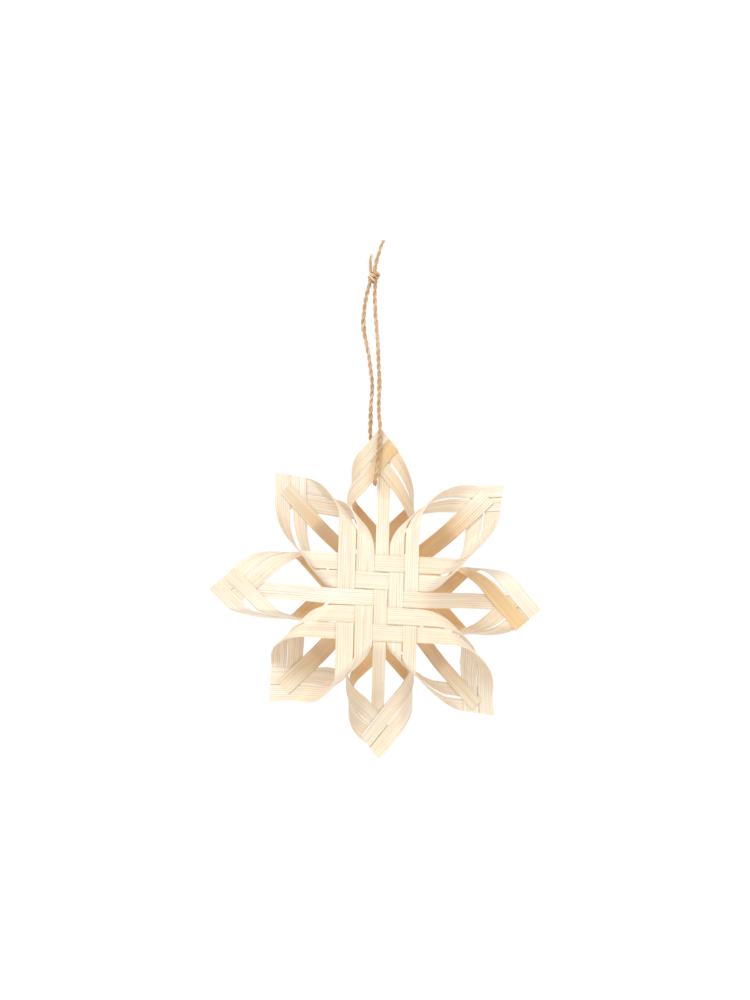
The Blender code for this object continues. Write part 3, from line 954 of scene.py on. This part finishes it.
    def build(self) -> bpy.types.Object:
        """Make the ribbon.

        Returns:
            The new object.
        """
        places, shares = self.marks()
        rows = self.rows(places)
        last_row, last_mark = len(rows) - 1, len(places) - 1
        front, back = [], []
        for number, row in enumerate(rows):
            ahead = rows[min(number + 1, last_row)]
            behind = rows[max(number - 1, 0)]
            for mark, (spot, along) in enumerate(row):
                run = ahead[mark][0] - behind[mark][0]
                cross = row[min(mark + 1, last_mark)][0] - row[max(mark - 1, 0)][0]
                normal = run.cross(cross).normalized()
                lift = normal * STOCK.thickness / 2 * shares[mark]
                offset = places[mark] - self.place
                for side, sheet in ((1.0, front), (-1.0, back)):
                    fibre = noise.noise(Vector((along * self.fibres_in_metre[0],
                                                places[mark] * self.fibres_in_metre[1],
                                                self.seed * side)))
                    sheet.append((self.centre + spot + lift * side
                                  + normal * side * self.relief * fibre * shares[mark],
                                  (along, offset, self.seed)))
        draft = MeshDraft()
        first_along, last_along = rows[0][0][1], rows[-1][0][1]
        for spot, grain in front + back:
            share = (grain[0] - first_along) / (last_along - first_along)
            draft.add(spot, grain, self.tone_at(share))
        self.add_faces(draft, len(rows), len(places))
        return draft.to_object(f"{self.node}_ribbon", bpy.data.materials[self.unit.finish.name])

    def add_faces(self, draft: MeshDraft, rows: int, marks: int) -> None:
        """Close the front and the back sheet into one solid.

        Args:
            draft: The ribbon's vertices, front sheet first.
            rows: Number of lines across the splint.
            marks: Number of points in each.
        """
        back = rows * marks
        for row in range(rows - 1):
            for mark in range(marks - 1):
                one = row * marks + mark
                corners = (one, one + 1, one + marks + 1, one + marks)
                draft.faces.append(corners[::-1])
                draft.faces.append(tuple(back + corner for corner in corners))
            for one, two in ((row * marks, (row + 1) * marks),
                             ((row + 2) * marks - 1, (row + 1) * marks - 1)):
                draft.faces.append((one, two, back + two, back + one))
        for row, step in ((0, 1), (rows - 1, -1)):
            for mark in range(marks - 1):
                one, two = row * marks + mark, row * marks + mark + 1
                face = (one, back + one, back + two, two)
                draft.faces.append(face if step < 0 else face[::-1])


@dataclass
class StrawStar:
    """The whole star: two units back to back."""

    centre: Vector = field(default_factory=lambda: Vector((4.4, 0.0, -139.8)) * MM)
    # Tone stops along each splint, from one cut end through the weave to the other: the wood's own
    # tan and painted shade together. The rear unit's high stops near its weave paint the shade that
    # falls behind the front weave. The front unit's higher outgoing stops paint shade inside the
    # curls.
    usual_tones_and_painted_shade: dict[str, tuple[float, ...]] = field(default_factory=lambda: {
        "front": (0.22, 0.28, 0.36, 0.30, 0.36, 0.28, 0.22),
        "rear": (0.20, 0.28, 0.85, 0.75, 0.85, 0.28, 0.20),
    })
    # Stops for single splints: their own tan, and painted shade where they run into shadow. They are
    # tan near the weave and pale at a lit tip.
    tones_and_painted_shade: dict[str, tuple[float, ...]] = field(default_factory=lambda: {
        "front_upright_splint_3": (0.45, 0.45, 0.42, 0.35, 0.35, 0.32, 0.30),
        "front_crosswise_splint_3": (0.0, 0.0, 0.05, 0.2, 0.38, 0.42, 0.42),
        "rear_crosswise_splint_3": (0.3, 0.4, 0.5, 0.8, 1.0, 0.7, 0.0),
        "rear_crosswise_splint_4": (0.1, 0.2, 0.85, 0.75, 0.9, 0.85, 0.85),
        "rear_crosswise_splint_5": (0.2, 0.25, 0.85, 0.75, 0.8, 0.1, 0.0),
        "rear_upright_splint_3": (0.3, 0.4, 0.5, 0.7, 0.8, 0.5, 0.3),
        "rear_upright_splint_4": (0.25, 0.3, 0.85, 0.75, 0.85, 0.1, 1.0),
        "rear_upright_splint_1": (0.1, 0.15, 0.8, 0.75, 0.8, 0.05, 0.05),
        "rear_upright_splint_2": (0.1, 0.15, 0.8, 0.75, 0.8, 0.05, 0.05),
        "rear_crosswise_splint_1": (0.05, 0.05, 0.8, 0.75, 0.85, 0.4, 0.3),
        "rear_crosswise_splint_2": (0.05, 0.05, 0.8, 0.75, 0.85, 0.4, 0.3),
    })
    tone_spread: float = 0.10
    tone_seed: int = 11

    def units(self) -> tuple[WovenUnit, WovenUnit]:
        """The front unit and the rear one.

        Returns:
            Both, front first.
        """
        front_wood = SplitWood("cream_splint_wood", (0.88, 0.84, 0.755), (0.80, 0.61, 0.38),
                               (0.66, 0.47, 0.30), (0.64, 0.48, 0.35))
        # The rear unit's wood is a warmer, more saturated copy of the front's: painted shade for the
        # splints that lie behind the front unit.
        rear_wood_with_painted_shade = SplitWood("honey_splint_wood", (0.88, 0.82, 0.70), (0.76, 0.53, 0.27),
                              (0.62, 0.40, 0.21), (0.58, 0.41, 0.29))
        front_petals = {
            "upper_right": Petal(42.1, 74.8 * MM, Roll(17.6, 0.5, (-0.5, 0.0), (1.0, 0.0)),
                                 Roll(13.9, 1.0, (-2.0, -0.3), (0.0, 0.0)), 80.0),
            "upper_left": Petal(130.4, 73.5 * MM, Roll(15.0, 0.5, (-6.0, -1.0), (-1.0, 0.0)),
                                Roll(15.6, 2.8, (1.8, 0.5), (1.6, 0.2)), 79.0),
            "lower_left": Petal(223.2, 69.1 * MM, Roll(15.1, 0.5, (2.6, 0.6), (2.3, 0.3)),
                                Roll(16.9, 0.5, (2.6, 0.6), (2.3, 0.3)), 85.0),
            "lower_right": Petal(313.5, 74.2 * MM, Roll(15.0, 1.2, (2.6, 0.6), (2.3, 0.3)),
                                 Roll(13.4, 0.6, (-6.0, -0.8), (-1.5, 0.0)), 77.0)}
        rear_petals = {
            "upper_right": Petal(89.9, 75.9 * MM, Roll(15.2, 2.0, (2.5, 1.2), (3.0, 0.8)),
                                 Roll(15.8, 0.9, (-5.5, -1.6), (-4.5, -0.4)), 77.0),
            "upper_left": Petal(177.6, 77.7 * MM, Roll(13.0, 0.6, (-6.0, -2.0), (-3.0, 0.0), 0.25),
                                Roll(18.0, 0.3, (0.0, 0.3), (1.5, 0.0)), 85.0),
            "lower_left": Petal(269.6, 73.8 * MM, Roll(15.3, 0.6, (0.0, 0.0), (0.0, 0.0), 0.35),
                                Roll(15.4, 1.2, (3.0, 0.5), (2.7, 0.2)), 77.0),
            "lower_right": Petal(355.2, 72.7 * MM, Roll(15.9, 0.0, (-5.5, -0.8), (-0.5, 0.0), 0.9),
                                 Roll(14.9, 0.8, (-3.0, -0.5), (-2.5, 0.0)), 90.0)}
        close = (STOCK.side_gap, STOCK.side_gap)
        front = WovenUnit(
            "front", -1, {Lie.CROSSWISE: -3.0, Lie.UPRIGHT: 88.4},
            {Lie.UPRIGHT: in_metres((7.8, 7.8, 5.8, 6.4, 6.0)),
             Lie.CROSSWISE: in_metres((7.4, 7.4, 6.9, 7.4, 7.1))},
            front_petals, front_wood, {Lie.UPRIGHT: close, Lie.CROSSWISE: close})
        rear = WovenUnit(
            "rear", 1, {Lie.CROSSWISE: 43.0, Lie.UPRIGHT: 131.4},
            {Lie.UPRIGHT: in_metres((7.2, 7.0, 6.3, 6.4, 6.8)),
             Lie.CROSSWISE: in_metres((6.9, 7.1, 8.1, 7.2, 7.3))},
            rear_petals, rear_wood_with_painted_shade,
            {Lie.UPRIGHT: (0.8 * MM, 1.2 * MM), Lie.CROSSWISE: (1.2 * MM, 2.0 * MM)}, 0.8 * MM)
        return front, rear

    def build(self) -> None:
        """Make all splints and have each stand for its node."""
        draw = Random(self.tone_seed)
        front, rear = self.units()
        for unit, far in ((front, rear), (rear, front)):
            unit.finish.material()
            for lie in (Lie.UPRIGHT, Lie.CROSSWISE):
                for index in range(len(unit.widths[lie])):
                    node = f"{unit.name}_{lie.value}_splint_{index + 1}"
                    shift = draw.uniform(-self.tone_spread, self.tone_spread)
                    usual = tuple(tone + shift for tone in self.usual_tones_and_painted_shade[unit.name])
                    splint = Splint(unit, far, lie, index, self.centre,
                                    self.tones_and_painted_shade.get(node, usual))
                    piece = splint.build()
                    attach(piece, BODY)
                    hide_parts(node)
                    log.info("%s: %d faces", piece.name, len(piece.data.polygons))


@dataclass
class Twine:
    """The jute twine: the loop, its knot and its two tails."""

    finish: Jute = Jute("jute_twine_fibre")
    diameter: float = 1.8 * MM
    ply_offset: float = 0.40 * MM
    ply_radius: float = 0.50 * MM
    pitch: float = 6.6 * MM
    step: float = 0.32 * MM
    sides: int = 12
    fibre_seed: int = 7
    loop_fibres: int = 420
    long_tail_fibres: int = 50
    short_tail_fibres: int = 40
    fibre_steps: int = 5
    fibre_start: float = 0.72 * MM
    tail_yarns: int = 26
    knot_centre: Vector = field(default_factory=lambda: Vector((1.2, 0.0, 4.5)) * MM)
    knot_radii: tuple[float, float] = (1.75 * MM, 1.45 * MM)
    knot_rise: float = 1.62 * MM
    knot_turns: float = 2.75
    knot_turn_points: int = 26
    knot_start: float = 200.0
    knot_lean: float = 24.0
    knot_tuck: int = 4
    knot_tuck_run: int = 7
    front_strand: tuple[tuple[float, float, float], ...] = (
        (1.8, -0.5, -89.3), (1.9, -2.1, -88.1), (2.2, -2.9, -85.4), (2.8, -2.5, -81.0),
        (3.3, -2.0, -76.0), (3.8, -1.8, -69.5), (4.1, -1.7, -63.0), (3.6, -1.7, -57.1),
        (3.6, -1.6, -49.9), (3.8, -1.5, -42.7), (3.4, -1.3, -34.0), (3.1, -1.1, -26.1),
        (2.6, -0.9, -18.9), (2.0, -0.7, -11.7), (1.7, -0.5, -5.2), (1.9, -0.4, 0.6))
    inside_knot: tuple[tuple[float, float, float], ...] = (
        (1.95, -0.2, 2.8), (1.2, 0.0, 4.4), (0.0, 0.2, 4.2), (-0.6, 0.3, 2.8))
    back_strand: tuple[tuple[float, float, float], ...] = (
        (-0.75, 0.3, 0.8), (-2.3, 0.4, -5.2), (-3.2, 0.5, -12.0), (-3.4, 0.6, -18.0),
        (-2.3, 0.7, -24.7), (-1.1, 0.9, -30.5), (-0.1, 1.1, -38.4), (0.6, 1.3, -45.0),
        (0.0, 1.7, -52.8), (-0.2, 2.0, -60.7), (-0.4, 2.3, -65.5), (0.1, 2.5, -70.0),
        (0.6, 2.8, -75.0), (1.1, 3.3, -80.0), (1.5, 3.7, -85.0), (1.65, 3.1, -88.1),
        (1.75, 1.3, -89.4))
    long_tail: tuple[tuple[float, float, float], ...] = (
        (1.4, 0.0, 7.0), (1.9, 0.0, 8.8), (2.7, -0.2, 12.5), (4.1, -0.1, 17.0), (5.7, 0.2, 21.0))
    short_tail: tuple[tuple[float, float, float], ...] = (
        (-0.2, 0.3, 7.0), (-0.4, 0.3, 8.6), (-0.4, 0.5, 11.8), (0.4, 0.4, 15.4))
    slubs: tuple[tuple[float, float, float], ...] = (
        (0.118, 1.22, 0.004), (0.046, 1.25, 0.003), (0.018, 1.18, 0.003), (0.160, 1.2, 0.004))

    def route(self, points: tuple[tuple[float, float, float], ...]) -> list[Vector]:
        """A smooth route through points given in millimetres."""
        return smooth_route([Vector(point) * MM for point in points], self.step)

    def thickening(self, run: float) -> float:
        """How much thicker than usual the yarn is at a distance along the loop."""
        bulge = 1.0 + 0.07 * noise.noise(Vector((run * 160.0, 3.1, 0.0)))
        for place, size, reach in self.slubs:
            bulge += (size - 1.0) * math.exp(-((run - place) / reach) ** 2)
        return bulge

    def add_plies(self, draft: MeshDraft, route: list[Vector], seed: float,
                  closing: float = 0.0) -> None:
        """Add two plies twisted round a route.

        Args:
            draft: What they are added to.
            route: Evenly spaced points.
            seed: Picks their own grain.
            closing: How much slimmer they are at the route's end, as a share.
        """
        frames = carried_frames(route)
        for ply in (0, 1):
            path, radii = [], []
            for number, (spot, (side, up)) in enumerate(zip(route, frames)):
                run = number * self.step
                swell = self.thickening(run + seed * 0.01)
                slim = 1.0 - closing * eased(number / (len(route) - 1))
                turn = math.tau * run / self.pitch + math.pi * ply
                around = side * math.cos(turn) + up * math.sin(turn)
                path.append(spot + around * self.ply_offset * swell * slim)
                radii.append(self.ply_radius * swell * slim)
            draft.add_tube(path, radii, self.sides, seed + ply, 0.0, 0.22)

    def add_fibres(self, draft: MeshDraft, route: list[Vector], count: int,
                   draw: Random) -> None:
        """Add loose fibres that stand off a route.

        Args:
            draft: What they are added to.
            route: Evenly spaced points.
            count: How many.
            draw: Source of chance.
        """
        frames = carried_frames(route)
        for _ in range(count):
            number = draw.randrange(2, len(route) - 2)
            side, up = frames[number]
            heading = (route[number + 1] - route[number - 1]).normalized()
            turn = draw.uniform(0.0, math.tau)
            around = side * math.cos(turn) + up * math.sin(turn)
            across = heading.cross(around)
            length = draw.uniform(0.8, 2.6) * MM
            rise = draw.uniform(0.15, 0.75)
            bend = draw.uniform(-0.7, 0.7)
            way = heading * draw.choice((-1.0, 1.0))
            path = []
            for step in range(self.fibre_steps + 1):
                share = step / self.fibre_steps
                path.append(route[number] + around * (self.fibre_start + length * rise * share)
                            + way * length * share * 0.85 + across * length * bend * share ** 2)
            thick = draw.uniform(0.028, 0.05) * MM
            radii = [thick * (1.0 - 0.75 * step / self.fibre_steps)
                     for step in range(self.fibre_steps + 1)]
            draft.add_tube(path, radii, 3, draw.uniform(0, 50), draw.uniform(0.1, 0.7))

    def knot(self) -> MeshDraft:
        """The tied knot as turns of twine wound closely round each other.

        Returns:
            Its mesh draft.
        """
        draft = MeshDraft()
        lean = math.radians(self.knot_lean)
        points = []
        count = int(self.knot_turns * self.knot_turn_points)
        for number in range(-self.knot_tuck, count + self.knot_tuck + 1):
            share = number / count
            turn = math.tau * self.knot_turns * share + math.radians(self.knot_start)
            nearest = min(number + self.knot_tuck, count + self.knot_tuck - number)
            tuck = min(1.0, max(0.0, nearest / self.knot_tuck_run))
            x = self.knot_radii[0] * tuck * math.cos(turn)
            y = -self.knot_radii[1] * tuck * math.sin(turn)
            z = (share - 0.5) * self.knot_rise * self.knot_turns
            points.append(self.knot_centre + Vector((x * math.cos(lean) + z * math.sin(lean), y,
                                                     z * math.cos(lean) - x * math.sin(lean))))
        self.add_plies(draft, smooth_route(points, self.step), 31.0)
        return draft

    def frayed_tail(self, draw: Random) -> MeshDraft:
        """The short tail: a bundle of yarns that come apart.

        Args:
            draw: Source of chance.

        Returns:
            Its mesh draft.
        """
        draft = MeshDraft()
        route = self.route(self.short_tail)
        frames = carried_frames(route)
        for strand in range(self.tail_yarns):
            turn = draw.uniform(0.0, math.tau)
            out = draw.uniform(0.1, 0.75) * MM
            spread = draw.uniform(0.7, 1.9)
            stop = round(len(route) * draw.uniform(0.55, 1.0))
            path = []
            for number in range(0, stop):
                side, up = frames[number]
                share = number / len(route)
                lay = turn + share * 1.6
                reach = out * (1.0 - 0.25 * share + (spread - 1.0) * share ** 3)
                path.append(route[number] + (side * math.cos(lay) + up * math.sin(lay)) * reach)
            thick = draw.uniform(0.09, 0.20) * MM
            radii = [thick * (1.0 - 0.7 * (number / stop) ** 3) for number in range(stop)]
            draft.add_tube(path, radii, 6, strand * 1.7, draw.uniform(0.0, 0.35), 0.2)
        return draft

    def build(self) -> None:
        material = self.finish.material()
        draw = Random(self.fibre_seed)
        loop = self.route(self.front_strand + self.inside_knot + self.back_strand)
        long_tail = self.route(self.long_tail)
        drafts = {"twine_loop_plies": MeshDraft(), "twine_knot_windings": self.knot(),
                  "twine_long_tail_plies": MeshDraft(),
                  "twine_short_tail_yarns": self.frayed_tail(draw),
                  "twine_loose_fibres": MeshDraft()}
        self.add_plies(drafts["twine_loop_plies"], loop, 0.0)
        self.add_plies(drafts["twine_long_tail_plies"], long_tail, 17.0, 0.18)
        for route, count in ((loop, self.loop_fibres), (long_tail, self.long_tail_fibres),
                             (self.route(self.short_tail), self.short_tail_fibres)):
            self.add_fibres(drafts["twine_loose_fibres"], route, count, draw)
        pieces = {name: draft.to_object(name, material) for name, draft in drafts.items()}
        for piece in pieces.values():
            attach(piece, BODY)
            log.info("%s: %d faces", piece.name, len(piece.data.polygons))
        for name, node in (("twine_loop_plies", "hanging_twine_loop"),
                           ("twine_knot_windings", "twine_knot"),
                           ("twine_long_tail_plies", "twine_long_tail"),
                           ("twine_short_tail_yarns", "twine_short_tail")):
            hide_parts(node)


@dataclass
class Studio:
    """Floor, light and camera."""

    aim: Vector = field(default_factory=lambda: Vector((1.81, 0.0, -96.3)) * MM)
    distance: float = 1.3
    view_height: float = 452.0 * MM
    sensor: float = 36.0
    floor_drop: float = 0.55
    floor_size: float = 3.0
    surround_light: float = 0.92
    surround_seen: float = 1.02
    key_light: float = 1.6
    fill_light: float = 0.45

    def build(self) -> None:
        """Make the stage."""
        self.floor()
        self.world()
        self.sun("key_window", (-28.0, 42.0), self.key_light, 28.0)
        self.sun("fill_window", (50.0, 12.0), self.fill_light, 60.0)
        self.camera()
        bpy.context.scene.view_settings.view_transform = "Standard"

    def floor(self) -> None:
        """Lay the plain floor far enough below for its shadow to stay out of the picture."""
        half = self.floor_size / 2
        drop = self.aim.z - self.floor_drop
        mesh = bpy.data.meshes.new("studio_floor")
        mesh.from_pydata([(-half, -half, drop), (half, -half, drop), (half, half, drop),
                          (-half, half, drop)], [], [(0, 1, 2, 3)])
        mesh.materials.append(StageWhite("studio_white").material())
        floor = bpy.data.objects.new("studio_floor", mesh)
        bpy.context.scene.collection.objects.link(floor)

    def world(self) -> None:
        """Show a white surround, and light the scene with it more weakly than it looks."""
        world = bpy.data.worlds.new("studio_world")
        world.use_nodes = True
        tree = world.node_tree
        background = tree.nodes["Background"]
        background.inputs["Color"].default_value = (1.0, 1.0, 1.0, 1.0)
        seen = tree.nodes.new("ShaderNodeLightPath").outputs["Is Camera Ray"]
        strength = tree.nodes.new("ShaderNodeMapRange")
        strength.inputs["To Min"].default_value = self.surround_light
        strength.inputs["To Max"].default_value = self.surround_seen
        tree.links.new(seen, strength.inputs["Value"])
        tree.links.new(strength.outputs["Result"], background.inputs["Strength"])
        bpy.context.scene.world = world

    def sun(self, name: str, origin: tuple[float, float], strength: float,
            softness: float) -> None:
        """Add an even, soft light from one side.

        Args:
            name: Its name.
            origin: Where it comes from: degrees to the right of the camera, and degrees up.
            strength: Its strength.
            softness: How wide it is, in degrees.
        """
        light = bpy.data.lights.new(name, "SUN")
        light.energy = strength
        light.angle = math.radians(softness)
        lamp = bpy.data.objects.new(name, light)
        aside, up = (math.radians(value) for value in origin)
        towards = -Vector((math.sin(aside) * math.cos(up), -math.cos(aside) * math.cos(up),
                           math.sin(up)))
        lamp.rotation_euler = towards.to_track_quat("-Z", "Y").to_euler()
        bpy.context.scene.collection.objects.link(lamp)

    def camera(self) -> None:
        """Stand the camera straight in front of the star."""
        lens = bpy.data.cameras.new("photo_camera")
        lens.sensor_fit = "VERTICAL"
        lens.sensor_height = self.sensor
        lens.lens = self.sensor * self.distance / self.view_height
        lens.clip_start = 0.01
        lens.clip_end = 50.0
        camera = bpy.data.objects.new("photo_camera", lens)
        camera.location = self.aim - Vector((0.0, self.distance, 0.0))
        camera.rotation_euler = (math.pi / 2, 0.0, 0.0)
        bpy.context.scene.collection.objects.link(camera)
        bpy.context.scene.camera = camera


def main() -> None:
    """Build the star, its twine and the studio."""
    logging.basicConfig(level=logging.INFO, format="%(name)s %(message)s")
    StrawStar().build()
    Twine().build()
    Studio().build()


if __name__ == "__main__":
    main()
